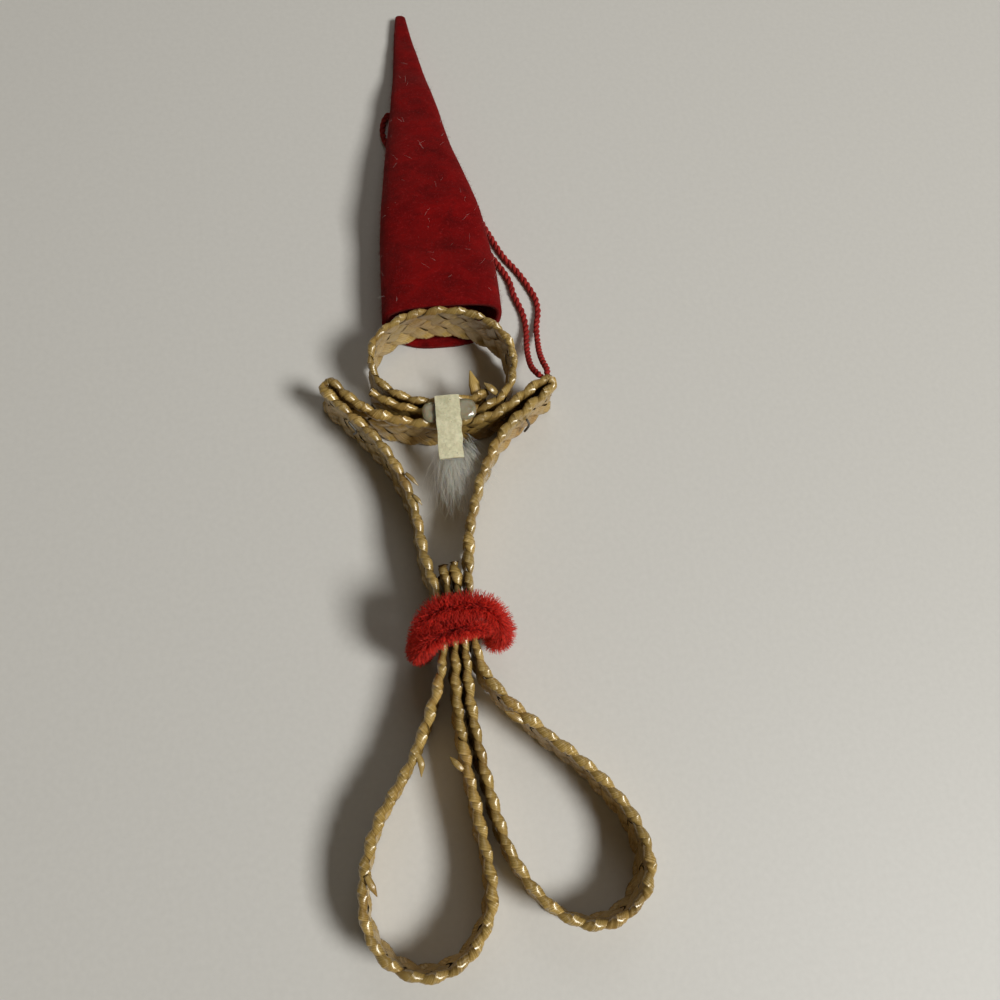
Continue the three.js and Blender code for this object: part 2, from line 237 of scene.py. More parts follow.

# %% [markdown]
# Everything that follows a path is drawn through a few listed points by the same smooth
# curve as the solid model: a centripetal Catmull-Rom curve.

# %% Routes
def smooth_route(points, step):
    """Points evenly spaced by about step along the smooth curve through points (numpy, mm)."""
    p = np.array(points, float)
    p = np.vstack([2 * p[0] - p[1], p, 2 * p[-1] - p[-2]])
    fine = []
    for a, b, c, d in zip(p, p[1:], p[2:], p[3:]):
        knots = np.cumsum([0.0] + [math.sqrt(np.linalg.norm(v)) for v in (b - a, c - b, d - c)])
        t = np.linspace(knots[1], knots[2], 40, endpoint=False)[:, None]
        a1 = (knots[1] - t) / (knots[1] - knots[0]) * a + (t - knots[0]) / (knots[1] - knots[0]) * b
        a2 = (knots[2] - t) / (knots[2] - knots[1]) * b + (t - knots[1]) / (knots[2] - knots[1]) * c
        a3 = (knots[3] - t) / (knots[3] - knots[2]) * c + (t - knots[2]) / (knots[3] - knots[2]) * d
        b1 = (knots[2] - t) / (knots[2] - knots[0]) * a1 + (t - knots[0]) / (knots[2] - knots[0]) * a2
        b2 = (knots[3] - t) / (knots[3] - knots[1]) * a2 + (t - knots[1]) / (knots[3] - knots[1]) * a3
        fine.append((knots[2] - t) / (knots[2] - knots[1]) * b1
                    + (t - knots[1]) / (knots[2] - knots[1]) * b2)
    fine = np.vstack(fine + [p[-2:-1]])
    far = np.concatenate([[0], np.cumsum(np.linalg.norm(np.diff(fine, axis=0), axis=1))])
    count = max(2, int(round(far[-1] / step)) + 1)
    at = np.linspace(0, far[-1], count)
    return np.stack([np.interp(at, far, fine[:, i]) for i in range(fine.shape[1])], 1)


def route_length(points):
    return float(np.linalg.norm(np.diff(np.array(points, float), axis=0), axis=1).sum())


def frames_along(line):
    """Tangent and two steady normals at each point of a line, without twist."""
    tangent = np.gradient(line, axis=0)
    tangent /= np.linalg.norm(tangent, axis=1)[:, None]
    first = np.cross(tangent[0], (0, 0, 1.0))
    if np.linalg.norm(first) < 0.1:
        first = np.cross(tangent[0], (0, 1.0, 0))
    normals = [first / np.linalg.norm(first)]
    for t in tangent[1:]:
        n = normals[-1] - t * (normals[-1] @ t)
        normals.append(n / np.linalg.norm(n))
    normals = np.array(normals)
    return tangent, normals, np.cross(tangent, normals)


def sweep(rings, first=0, closed_ends=True):
    """Points and faces of a skin through rings of equal size, an array (rings, sides, 3)."""
    count, sides = rings.shape[:2]
    i, j = np.meshgrid(np.arange(count - 1), np.arange(sides), indexing="ij")
    a, b = i * sides + j, i * sides + (j + 1) % sides
    quads = np.stack([a, b, b + sides, a + sides], -1).reshape(-1, 4) + first
    faces = quads.tolist()
    if closed_ends:
        faces.append([first + k for k in range(sides)][::-1])
        faces.append([first + (count - 1) * sides + k for k in range(sides)])
    return rings.reshape(-1, 3), faces


def tube_rings(line, one, two, radius, sides):
    """Rings of points round a line, spread between its two normals."""
    a = np.linspace(0, 2 * math.pi, sides, endpoint=False)[None, :, None]
    return line[:, None] + radius * (np.cos(a) * one[:, None] + np.sin(a) * two[:, None])


def to_row(points):
    """Millimetres from the waist to metres in the row frame, for an array of points."""
    return np.asarray(points, float) * MM + np.array([WAIST_X, WAIST_Y, 0.0])


# %% Hanging cord
CORD_D = 1.4
cord_points = [
    [23.0, 48.7, 10.6], [22.4, 50.4, 9.2], [22, 52.6, 7.2], [22.1, 56.3, 4.6], [22.6, 60.7, 2.4],
    [23.2, 64.7, 1.1], [23.1, 68.2, 0.8], [22.4, 71, 0.8], [21.6, 73.7, 0.8],
    [21.3, 76.1, 0.8], [20.6, 78.4, 0.8], [19.4, 80.9, 0.8], [18, 83.4, 0.8],
    [16.5, 86.4, 0.8], [15.4, 90, 0.8], [13.4, 95.6, 0.8], [10.6, 100.6, 0.8], [7, 105, 0.8],
    [2.8, 108.4, 0.8], [-1, 112, 0.8], [-3, 116, 0.8], [-3.1, 120, 0.8], [-1.6, 123, 0.8],
    [0.8, 122.2, 0.8], [1.5, 118.6, 0.8], [2.9, 114, 0.8], [5.8, 110, 0.8],
    [9.2, 106.4, 0.8], [12.6, 101.8, 0.8], [15.4, 96.6, 0.8], [17.2, 91.4, 0.8],
    [18.5, 88.2, 0.8], [19.6, 85.4, 0.8], [21, 82.6, 0.8], [22.6, 80.2, 0.8],
    [24, 77.8, 0.8], [25.2, 75.2, 0.8], [26.3, 72.3, 0.8], [26.5, 69.2, 0.8],
    [25.6, 65.2, 1.1], [25, 60.9, 2.6], [24.5, 56.9, 5.2], [24.4, 53.2, 8],
    [24.6, 50.4, 10], [24.2, 48.8, 11.2]]


def fibre_material(name, dark, light, fuzz, scale, sheen=0.35):
    """Wool or pile: colour varies from fibre to fibre, with a soft sheen."""
    material, tree = blank_material(name)
    coarse = cloudy(tree, Scale=scale, Detail=4.0, Roughness=0.6)
    fine = cloudy(tree, Scale=scale * 9, Detail=2.0)
    both = add(tree, "ShaderNodeMath", {"operation": "MULTIPLY_ADD"},
               {0: fine.outputs["Fac"], 2: coarse.outputs["Fac"]})
    both.inputs[1].default_value = 0.55
    ramp = blend(tree, both.outputs[0], dark, light, 0.52, 1.02)
    bump = add(tree, "ShaderNodeBump", links={"Height": fine.outputs["Fac"]},
               Strength=0.5, Distance=0.00012)
    surface = add(tree, "ShaderNodeBsdfPrincipled",
                  links={"Base Color": ramp.outputs["Color"], "Normal": bump.outputs["Normal"]},
                  Roughness=0.9, Specular_IOR_Level=0.2, Sheen_Weight=sheen, Sheen_Roughness=0.45,
                  Sheen_Tint=linear(fuzz))
    return finished(material, surface)


yarn_material = fibre_material("red_yarn", "#6C0E10", "#B0332C", "#D88070", 900.0, sheen=0.12)

PLIES = 2
PLY_R = 0.42
PLY_TURN = 2.8                # millimetres for a whole turn of the plies
PLY_SIDES = 7

CORD_STEP = 0.28

cord_line = smooth_route(cord_points, CORD_STEP)
tangent, normal, other = frames_along(cord_line)
way = np.arange(len(cord_line)) * CORD_STEP
points, faces = [], []
for ply in range(PLIES):
    turn = 2 * math.pi * (way / PLY_TURN + ply / PLIES)
    out = np.cos(turn)[:, None] * normal + np.sin(turn)[:, None] * other
    heart = cord_line + out * (CORD_D / 2 - PLY_R)
    _, n1, n2 = frames_along(heart)
    p, f = sweep(tube_rings(heart, n1, n2, PLY_R, PLY_SIDES), sum(len(q) for q in points))
    points.append(p)
    faces += f
hanging_cord = mesh_object("twisted_yarn", to_row(np.vstack(points)), faces, yarn_material)
put(hanging_cord, "yarn", "hanging_cord")

# %% [markdown]
# The plait. Five flattened straws run to and fro across the band. At each edge a straw turns
# from the back face to the front face, so it wraps a small half cylinder without stretching.
# The straight plait is made first, as X along, Y through and Z across. Geometry nodes then bend
# it along its route.

# %% Straight plait
BAND_W = 12.0
PITCH = 4.1
STRAWS = 5
TURN_R = 0.40                 # radius of the middle of a straw where it turns at an edge
FLAT_T = 0.50                 # thickness of a straw in the woven faces
EDGE_T = 1.55                 # and where it puffs up at an edge
CREASE = 0.10                 # the folded straw has a sharp crease on top this high
WAVE = 0.36                   # how far a straw moves out and in as it weaves
RIM = TURN_R + EDGE_T / 2 + CREASE
ACROSS = BAND_W - 2 * RIM     # between the two edges' turning lines
TRAVERSE = ACROSS + math.pi * TURN_R
SLOPE = math.atan(2 * TRAVERSE / (STRAWS * PITCH))
STRAW_W = 1.16 * PITCH * math.sin(SLOPE)
SECTION = [(-1.0, 0.0), (-0.74, 0.46), (-0.36, 0.86), (0.0, 1.0), (0.36, 0.86), (0.74, 0.46),
           (1.0, 0.0), (0.0, -0.7)]
SHARP = (1, 4, 7)             # these corners of the section are creases
FOLD_REACH = 2.1              # how far from an edge the points are set close together
PUFF_REACH = 1.5              # how far the puffed fold reaches into the faces
LEVEL_REACH = 1.1             # and how soon the straw lies flat past its turn
OVERHANG = 1.6                # the cut ends reach at least this far past the plait


def turn_steps(start, end):
    """Places along a straw: close together where it turns at an edge, wider in between."""
    steps = []
    for k in range(int(start // TRAVERSE) - 1, int(end // TRAVERSE) + 2):
        near = np.arange(-FOLD_REACH, FOLD_REACH, FOLD_REACH / 10)
        far = np.linspace(FOLD_REACH, TRAVERSE - FOLD_REACH, 11, endpoint=False)
        steps.append(k * TRAVERSE + np.concatenate([near, far]))
    steps = np.concatenate(steps)
    return steps[(steps >= start) & (steps <= end)]


def straight_plait(length, seed):
    """Points, faces, UVs and a shade per point for a straight plait of that length."""
    rng = np.random.default_rng(seed)
    points, faces, uvs, shades = [], [], [], []
    first = 0
    section = np.array(SECTION)
    rise = math.sin(SLOPE)
    run = math.cos(SLOPE)
    period = STRAWS * PITCH
    for straw in range(STRAWS):
        q_start = (straw * PITCH - OVERHANG - rng.uniform(0, 1.4)) / period * 2 * TRAVERSE
        q_end = (straw * PITCH + length + OVERHANG + rng.uniform(0, 1.4)) / period * 2 * TRAVERSE
        q_mid = turn_steps(q_start, q_end)
        s_mid = q_mid / (2 * TRAVERSE) * period - straw * PITCH
        turn = np.floor(q_mid / TRAVERSE + 0.5).astype(int)
        turn -= turn.min()
        count = turn.max() + 2
        kind = np.interp(q_mid / TRAVERSE - q_mid[0] / TRAVERSE, np.arange(count + 1),
                         rng.normal(0, 1, count + 1))
        bead = rng.normal(0, 1, count)[turn]
        wide = STRAW_W * (1 + 0.05 * kind)
        across = section[None, :, 0] * wide[:, None] / 2
        s = s_mid[:, None] - across * rise
        q = q_mid[:, None] + across * run
        near_edge = np.round(q / TRAVERSE)
        away = q - near_edge * TRAVERSE
        at_top = (near_edge.astype(int) % 2) == 1
        swell = EDGE_T * (1 + 0.12 * bead[:, None])
        thick = FLAT_T + (swell - FLAT_T) * np.exp(-(away / PUFF_REACH) ** 2)
        lift = section[None, :, 1] * thick / 2
        lean = 0.16 * section[None, :, 0] * np.exp(-(away / 1.8) ** 2)
        lean += rng.normal(0, 0.07, count)[turn][:, None] * across
        cell = q_mid[:, None] / TRAVERSE
        wave = -WAVE * np.cos(math.pi * STRAWS * cell) * np.where(
            np.floor(cell).astype(int) % 2 == 0, 1, -1)
        half_turn = math.pi / 2 * TURN_R
        phase = np.clip(away / TURN_R, -math.pi / 2, math.pi / 2)
        turned = np.abs(away) < half_turn
        past = np.maximum(np.abs(away) - half_turn, 0)
        flat = ease(past / LEVEL_REACH)
        side = np.where(away < 0, -1.0, 1.0)
        level = side * TURN_R * (1 - flat) + wave * flat
        n_flat = level + (lift + lean) * side
        radial = TURN_R + lift + lean
        crest = CREASE * np.exp(-(away / 0.5) ** 2) * np.clip(section[None, :, 1], 0, 1)
        n = np.where(turned, radial * np.sin(phase), n_flat)
        v_out = np.where(turned, radial * np.cos(phase), -past) + crest
        v = np.where(at_top, BAND_W - RIM + v_out, RIM - v_out)
        ring = np.stack([s, -n, v], -1)[:, ::-1]
        p, f = sweep(ring, first)
        points.append(p)
        faces += f
        first += len(p)
        along = np.repeat(q_mid / rise, len(section))
        u_across = np.tile(section[::-1, 0], len(q_mid))
        uvs.append(np.stack([along, u_across * STRAW_W / 2], 1))
        shades.append(np.repeat(0.5 + 0.5 * np.tanh(0.5 * kind + 0.45 * bead), len(section)))
    return np.vstack(points), faces, np.vstack(uvs), np.concatenate(shades)


print("straws cross at", round(math.degrees(SLOPE), 1), "degrees and are",
      round(STRAW_W, 2), "mm wide")


# %% Straw material
def straw_material():
    """Glossy dry straw: fine lines along each straw, paler and browner straws, painted crevice shade.
    """
    material, tree = blank_material("golden_straw")
    uv = add(tree, "ShaderNodeUVMap", {"uv_map": "straw_uv"})
    lines_at = add(tree, "ShaderNodeMapping", links={"Vector": uv.outputs["UV"]},
                   Scale=(0.10, 6.0, 1.0))
    lines = add(tree, "ShaderNodeTexNoise", links={"Vector": lines_at.outputs["Vector"]},
                Scale=1.5, Detail=4.0, Roughness=0.6)
    stain = cloudy(tree, Scale=95.0, Detail=4.0, Roughness=0.6)
    shade = add(tree, "ShaderNodeAttribute", {"attribute_name": "straw_shade"})
    base = add(tree, "ShaderNodeValToRGB", links={"Fac": lines.outputs["Fac"]})
    ramp = base.color_ramp
    ramp.elements[0].position = 0.32
    ramp.elements[0].color = linear("#86703A")
    ramp.elements[1].position = 0.72
    ramp.elements[1].color = linear("#DEC994")
    middle = ramp.elements.new(0.5)
    middle.color = linear("#AF965A")
    stain_ramp = blend(tree, stain.outputs["Fac"], "#FFFFFF", "#C98E58", 0.50, 0.74)
    warm = add(tree, "ShaderNodeMix", {"data_type": "RGBA", "blend_type": "MULTIPLY"},
               {6: base.outputs["Color"], 7: stain_ramp.outputs["Color"]}, Factor=0.45)
    value = add(tree, "ShaderNodeMapRange", links={"Value": shade.outputs["Fac"]}, To_Min=0.72,
                To_Max=1.22)
    tint = add(tree, "ShaderNodeHueSaturation",
               links={"Color": warm.outputs[2], "Value": value.outputs["Result"]})
    # Painted shade: ambient occlusion darkens the straw colour towards dark brown in the crevices
    # between straws.
    crevice_shade = add(tree, "ShaderNodeAmbientOcclusion", {"samples": 4, "only_local": True},
                Distance=0.0018)
    close = add(tree, "ShaderNodeMapRange", links={"Value": crevice_shade.outputs["AO"]}, From_Min=0.3,
                From_Max=0.95)
    dark = add(tree, "ShaderNodeMix", {"data_type": "RGBA"},
               {"Factor": close.outputs["Result"], 7: tint.outputs["Color"]})
    dark.inputs[6].default_value = linear("#4A3012")
    bump = add(tree, "ShaderNodeBump", links={"Height": lines.outputs["Fac"]},
               Strength=0.5, Distance=0.0001)
    rough = add(tree, "ShaderNodeMapRange", links={"Value": lines.outputs["Fac"]}, To_Min=0.16,
                To_Max=0.34)
    surface = add(tree, "ShaderNodeBsdfPrincipled",
                  links={"Base Color": dark.outputs[2], "Normal": bump.outputs["Normal"],
                         "Roughness": rough.outputs["Result"]}, Specular_IOR_Level=1.0,
                  Coat_Weight=0.7, Coat_Roughness=0.28, Coat_Tint=linear("#FFF0CC"))
    return finished(material, surface)


straw = straw_material()

# %% Node tree that bends a straight plait along its route
def socket(tree, name, kind, out=False, value=None):
    """One named input or output of a node group."""
    made = tree.interface.new_socket(name=name, in_out="OUTPUT" if out else "INPUT",
                                     socket_type="NodeSocket" + kind)
    if value is not None:
        made.default_value = value
    return made


def bend_tree():
    """X is read as the way along the route, Y as the offset to its side and Z as the height."""
    tree = bpy.data.node_groups.new("bend_along_route", "GeometryNodeTree")
    socket(tree, "Geometry", "Geometry")
    socket(tree, "Route", "Object")
    socket(tree, "Material", "Material")
    socket(tree, "Geometry", "Geometry", out=True)
    inside = tree.nodes.new("NodeGroupInput")
    route = add(tree, "GeometryNodeObjectInfo", {"transform_space": "RELATIVE"},
                {"Object": inside.outputs["Route"]})
    here = tree.nodes.new("GeometryNodeInputPosition")
    parts = add(tree, "ShaderNodeSeparateXYZ", links={"Vector": here.outputs[0]})
    sample = add(tree, "GeometryNodeSampleCurve", {"mode": "LENGTH", "data_type": "FLOAT"},
                 {"Curves": route.outputs["Geometry"], "Length": parts.outputs["X"]})
    radius = tree.nodes.new("GeometryNodeInputRadius")
    tree.links.new(radius.outputs[0], sample.inputs["Value"])
    side = add(tree, "ShaderNodeVectorMath", {"operation": "CROSS_PRODUCT"},
               {0: sample.outputs["Tangent"]})
    side.inputs[1].default_value = (0, 0, 1)
    side_unit = add(tree, "ShaderNodeVectorMath", {"operation": "NORMALIZE"},
                    {0: side.outputs["Vector"]})
    wide = add(tree, "ShaderNodeMath", {"operation": "MULTIPLY"},
               {0: parts.outputs["Y"], 1: sample.outputs["Value"]})
    sideways = add(tree, "ShaderNodeVectorMath", {"operation": "SCALE"},
                   {0: side_unit.outputs["Vector"], "Scale": wide.outputs[0]})
    upwards = add(tree, "ShaderNodeCombineXYZ", links={"Z": parts.outputs["Z"]})
    first = add(tree, "ShaderNodeVectorMath", {"operation": "ADD"},
                {0: sample.outputs["Position"], 1: sideways.outputs["Vector"]})
    second = add(tree, "ShaderNodeVectorMath", {"operation": "ADD"},
                 {0: first.outputs["Vector"], 1: upwards.outputs["Vector"]})
    moved = add(tree, "GeometryNodeSetPosition", links={
        "Geometry": inside.outputs["Geometry"], "Position": second.outputs["Vector"]})
    real = add(tree, "GeometryNodeRealizeInstances", links={"Geometry": moved.outputs["Geometry"]})
    painted = add(tree, "GeometryNodeSetMaterial", links={
        "Geometry": real.outputs["Geometry"], "Material": inside.outputs["Material"]})
    out = tree.nodes.new("NodeGroupOutput")
    tree.links.new(painted.outputs["Geometry"], out.inputs["Geometry"])
    return tree


def run_tree(obj, tree, **values):
    """Runs a node tree on obj with inputs by name, and keeps its result as a plain mesh."""
    modifier = obj.modifiers.new(tree.name, "NODES")
    modifier.node_group = tree
    for item in tree.interface.items_tree:
        if item.item_type == "SOCKET" and item.in_out == "INPUT" and item.name in values:
            modifier[item.identifier] = values[item.name]
    ready = obj.evaluated_get(bpy.context.evaluated_depsgraph_get())
    mesh = bpy.data.meshes.new_from_object(ready, preserve_all_data_layers=True,
                                           depsgraph=bpy.context.evaluated_depsgraph_get())
    old = obj.data
    obj.modifiers.remove(modifier)
    obj.data = mesh
    bpy.data.meshes.remove(old)
    mesh.polygons.foreach_set("use_smooth", [True] * len(mesh.polygons))
    return obj


def route_object(name, line, lift, squeeze):
    """A hidden poly curve in metres: its height is the lift and its radius the squeeze."""
    curve = bpy.data.curves.new(name, "CURVE")
    curve.dimensions = "3D"
    spline = curve.splines.new("POLY")
    spline.points.add(len(line) - 1)
    for point, (x, y), z, r in zip(spline.points, line, lift, squeeze):
        point.co = (*place(x, y, z), 1)
        point.radius = r
    obj = bpy.data.objects.new(name, curve)
    bpy.context.scene.collection.objects.link(obj)
    return obj


BEND = bend_tree()


def mark_straw(mesh, uvs, shades):
    """Stores the way along and across each straw, and its shade, for the material."""
    corners = np.zeros(len(mesh.loops), np.int32)
    mesh.loops.foreach_get("vertex_index", corners)
    mesh.uv_layers.new(name="straw_uv").data.foreach_set("uv", uvs[corners].ravel())
    mesh.attributes.new("straw_shade", "FLOAT", "POINT").data.foreach_set("value", shades)


def plait(name, route, lift_of, squeeze_of, seed):
    """A finished plait along a flat route, with its own lift and thickness at each point."""
    line = smooth_route(route, 0.2)
    length = route_length(line)
    points, faces, uvs, shades = straight_plait(length, seed)
    points[:, 0] = np.clip(points[:, 0], 0.0, length)
    mesh = bpy.data.meshes.new(name)
    mesh.from_pydata((points * MM).tolist(), [], faces)
    mark_straw(mesh, uvs, shades)
    ends = np.zeros(2 * len(mesh.edges), np.int32)
    mesh.edges.foreach_get("vertices", ends)
    corner = ends.reshape(-1, 2) % len(SECTION)
    crease = (corner[:, 0] == corner[:, 1]) & np.isin(corner[:, 0], SHARP)
    mesh.attributes.new("sharp_edge", "BOOLEAN", "EDGE").data.foreach_set("value", crease)
    mesh.materials.append(straw)
    obj = bpy.data.objects.new(name, mesh)
    bpy.context.scene.collection.objects.link(obj)
    rail = route_object(name + "_route", line, [lift_of(p) for p in line],
                        [squeeze_of(p) for p in line])
    run_tree(obj, BEND, Route=rail, Material=straw)
    bpy.data.objects.remove(rail)
    print(name, "is", round(length, 1), "mm long, with", len(obj.data.polygons), "faces")
    return obj


# %% Body plait
WAIST_LIFT, LIFT_REACH = 2.6, 15.0
WAIST_REACH, WAIST_EASE, WAIST_PART = 5.0, 5.0, 0.74
ARM_TURN = 1.3


def hand_turn(x, y, heading):
    """The three points of the tight turn at a hand, between two touching strands."""
    ahead = np.array([math.cos(heading), math.sin(heading)])
    side = np.array([ahead[1], -ahead[0]])
    reach = ARM_TURN * math.sqrt(0.5)
    middle = np.array([x, y])
    return [(middle + (ahead - side) * reach).tolist(), (middle + ahead * ARM_TURN).tolist(),
            (middle + (ahead + side) * reach).tolist()]


body_route = [
    # left leg loop, from the cut end downwards on its inner side
    [-1.4, 10.8], [-1.0, 5.5], [-0.95, 0], [-0.95, -5], [-1.3, -9.5], [-1.5, -14], [-1.4, -19],
    [-1.1, -25], [-0.4, -31], [0.2, -37], [0.8, -42.5], [0.9, -46.5], [0, -50.5],
    [-2.2, -54.3], [-5.4, -57.2], [-9.6, -58.8], [-13.8, -58.2], [-17.4, -56],
    [-20, -52.4], [-21.2, -47.6], [-20.9, -42.6], [-19.6, -37.8], [-17.3, -32.8],
    [-14.1, -28.4], [-11.1, -24.2], [-8.5, -19.6], [-6.1, -14.6], [-4.2, -9.8],
    # waist and left arm
    [-3.05, -5], [-2.85, 0], [-2.95, 5], [-3.9, 9.6], [-4.7, 14], [-5, 18.6],
    [-5.5, 23.2], [-6.7, 28.2], [-8.7, 33.2], [-11.4, 38], [-14.4, 41.8], [-17.5, 45.4],
    *hand_turn(-19.6, 50, 2.31),
    # shoulders
    [-15.6, 47], [-12, 44.1], [-7.3, 41.9], [-2.4, 40.7], [3, 40.2], [8.2, 40.3],
    [12.9, 41.5], [17, 43.8], [20.4, 46],
    *hand_turn(23.8, 46.7, 0.57),
    # right arm and waist
    [21.8, 43.8], [18.4, 41.4], [15.3, 38.9], [12.5, 35.7], [10.3, 32.2], [8.3, 28.6],
    [6.9, 25], [5.5, 20.8], [4.3, 16], [3.6, 11], [2.95, 5.5], [2.85, 0],
    # right leg loop
    [2.95, -5], [4, -9.6], [6.8, -14], [10.4, -18.2], [14.2, -22.2], [18.2, -26],
    [22, -30], [25.4, -34.6], [27.9, -39.4], [29, -43.8], [28.5, -48], [26.2, -51.8],
    [22.3, -54.2], [17.6, -54.6], [13.2, -52.8], [9.7, -49.6], [6.8, -45.4],
    [4.7, -40.6], [3.4, -35.6], [2.5, -30.2], [1.8, -25], [1.2, -19.6], [0.85, -14],
    [0.9, -9.5], [0.95, -5], [0.95, 0], [0.95, 4.5], [0.85, 9], [0.75, 12.2]]


def waist_lift(p):
    return WAIST_LIFT * math.exp(-(p[1] / LIFT_REACH) ** 2)


def waist_squeeze(p):
    return WAIST_PART + (1 - WAIST_PART) * float(ease((abs(p[1]) - WAIST_REACH) / WAIST_EASE))


body = plait("body_plait", body_route, waist_lift, waist_squeeze, seed=4)
put(body, "straw", "body_braid")

# %% Head plait
HEAD_LIFT, HEAD_LIFT_FROM, HEAD_LIFT_TO = 2.25, 49.0, 58.0
head_route = [
    [11.4, 46.3], [8.9, 45.2], [5.2, 44.9], [1, 45], [-2.6, 45.5], [-6, 47], [-8.9, 49.3],
    [-10.7, 52.2], [-11, 55.4], [-9.9, 58.5], [-7.3, 61.1], [-3.8, 63], [0.4, 63.9],
    [4.6, 64], [8.9, 63.3], [12.6, 61.4], [15.6, 58.6], [17.3, 55.6], [17.7, 52.2],
    [17, 48.8], [15, 45.7], [11.8, 43.5], [8, 42.7], [3.4, 42.7], [-1, 43.1],
    [-5.2, 44.3], [-8.8, 46.1], [-12.1, 48.6]]


def head_lift(p):
    return HEAD_LIFT * float(ease((p[1] - HEAD_LIFT_FROM) / (HEAD_LIFT_TO - HEAD_LIFT_FROM)))


head = plait("head_plait", head_route, head_lift, lambda p: 0.84, seed=11)
put(head, "straw", "head_braid")

# %% [markdown]
# Short ends of straw stand off the plaits where they were cut or have split.

# %% Loose ends of straw
SPLIT_SIDES = 8
loose_ends = [
    ("body_braid", 1.5, 0.2, [[10.0, -19.4, 11.3], [8.6, -18.3, 11.7], [6.7, -17.1, 11.6]]),
    ("body_braid", 1.2, 0.5, [[-9.9, -22.2, 11.6], [-9.1, -24.2, 11.8], [-9.3, -26.6, 11.0]]),
    ("body_braid", 1.2, 0.3, [[-1.9, -26.4, 11.8], [-2.9, -25.2, 12.0], [-4.0, -23.7, 11.4]]),
    ("body_braid", 1.2, 0.4, [[-20.2, -41.4, 12.0], [-19.4, -43.2, 12.0], [-18.7, -45, 11.4]]),
    ("body_braid", 0.9, 0.0, [[-6.5, 30.0, 12.0], [-5.4, 28.6, 12.3], [-4.3, 27.2, 11.8]]),
    ("body_braid", 0.8, 0.1, [[-5.5, 25.4, 12.0], [-4.6, 24.2, 12.2], [-4.0, 23.2, 11.8]]),
    ("head_braid", 2.3, 0.9, [[9.6, 45.0, 9.4], [9.3, 47.6, 10.2], [8.6, 51.0, 11.2]]),
    ("head_braid", 1.6, 0.0, [[13.4, 45.4, 11.4], [12.2, 46.3, 12.2], [10.9, 47.6, 12.3]])]
for number, (node, wide, shade, route) in enumerate(loose_ends, 1):
    line = smooth_route(route, 0.3)
    tangent, one, two = frames_along(line)
    t = np.linspace(0, 1, len(line))
    grow = np.clip(1.06 - t, 0.06, 0.5) / 0.5 * (0.7 + 0.3 * np.minimum(1, t / 0.25))
    a = np.linspace(0, 2 * math.pi, SPLIT_SIDES, endpoint=False)
    oval = (wide / 2 * np.cos(a)[None, :, None] * one[:, None]
            + wide / 5 * np.sin(a)[None, :, None] * two[:, None])
    split_points, split_faces = sweep(line[:, None] + grow[:, None, None] * oval, 0)
    split = mesh_object("loose_straw_%d" % number, to_row(split_points), split_faces, straw)
    split_uv = np.stack([np.repeat(t * 5, SPLIT_SIDES), np.tile(np.cos(a), len(t))], 1)
    mark_straw(split.data, split_uv, np.full(len(split_uv), shade))
    put(split, "straw", node)
print(len(loose_ends), "loose ends of straw")


# %% [markdown]
# Felt and chenille both need thousands of small fibres. One node tree scatters a fibre over a
# mesh: it stands each one along the surface, leans it a little, and gives it a length and a tone
# of its own. The tree ends as a plain mesh, as the plait's did.

# %% Fibre tree
def fibre_shape(name, bend, rings):
    """One fibre, one unit tall and one unit in radius at its root, bent sideways by bend."""
    up = np.linspace(0, 1, rings)
    thick = np.maximum(1 - 0.55 * up ** 1.5, 0.1)
    a = np.array([0.3, 2.4, 4.5])
    ring = np.stack([np.cos(a), np.sin(a)], 1)
    points = np.zeros((rings, 3, 3))
    points[:, :, :2] = ring[None] * thick[:, None, None]
    points[:, :, 0] += bend * (up ** 2)[:, None]
    points[:, :, 2] = up[:, None]
    p, f = sweep(points)
    mesh = bpy.data.meshes.new(name)
    mesh.from_pydata(p.tolist(), [], f)
    return bpy.data.objects.new(name, mesh)


